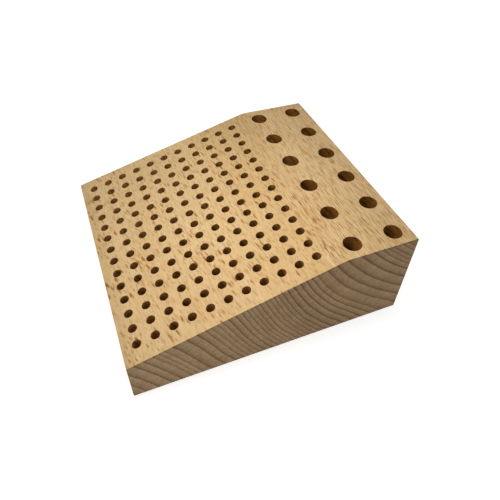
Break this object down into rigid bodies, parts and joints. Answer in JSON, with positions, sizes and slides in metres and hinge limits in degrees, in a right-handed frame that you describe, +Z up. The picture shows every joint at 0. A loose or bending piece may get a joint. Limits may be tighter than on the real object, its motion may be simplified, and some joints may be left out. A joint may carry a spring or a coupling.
{
  "type": "rotary bit storage block",
  "caption": "Ramped solid beech block with a grid of thin blind holes on the ramp and two rows of thick ones on the flat top, to stand rotary bits and burs upright.",
  "frame": {"origin": "centre of the base, on the surface that the block stands on", "axes": "+X up the ramp, from the low front face to the tall back face; +Y along the grain; +Z up"},
  "size_m": [0.109, 0.1, 0.04],
  "materials": {
    "beech": "fine sanded, unvarnished"
  },
  "bodies": {
    "root": {"beech_block": "beech"}
  },
  "joints": []
}
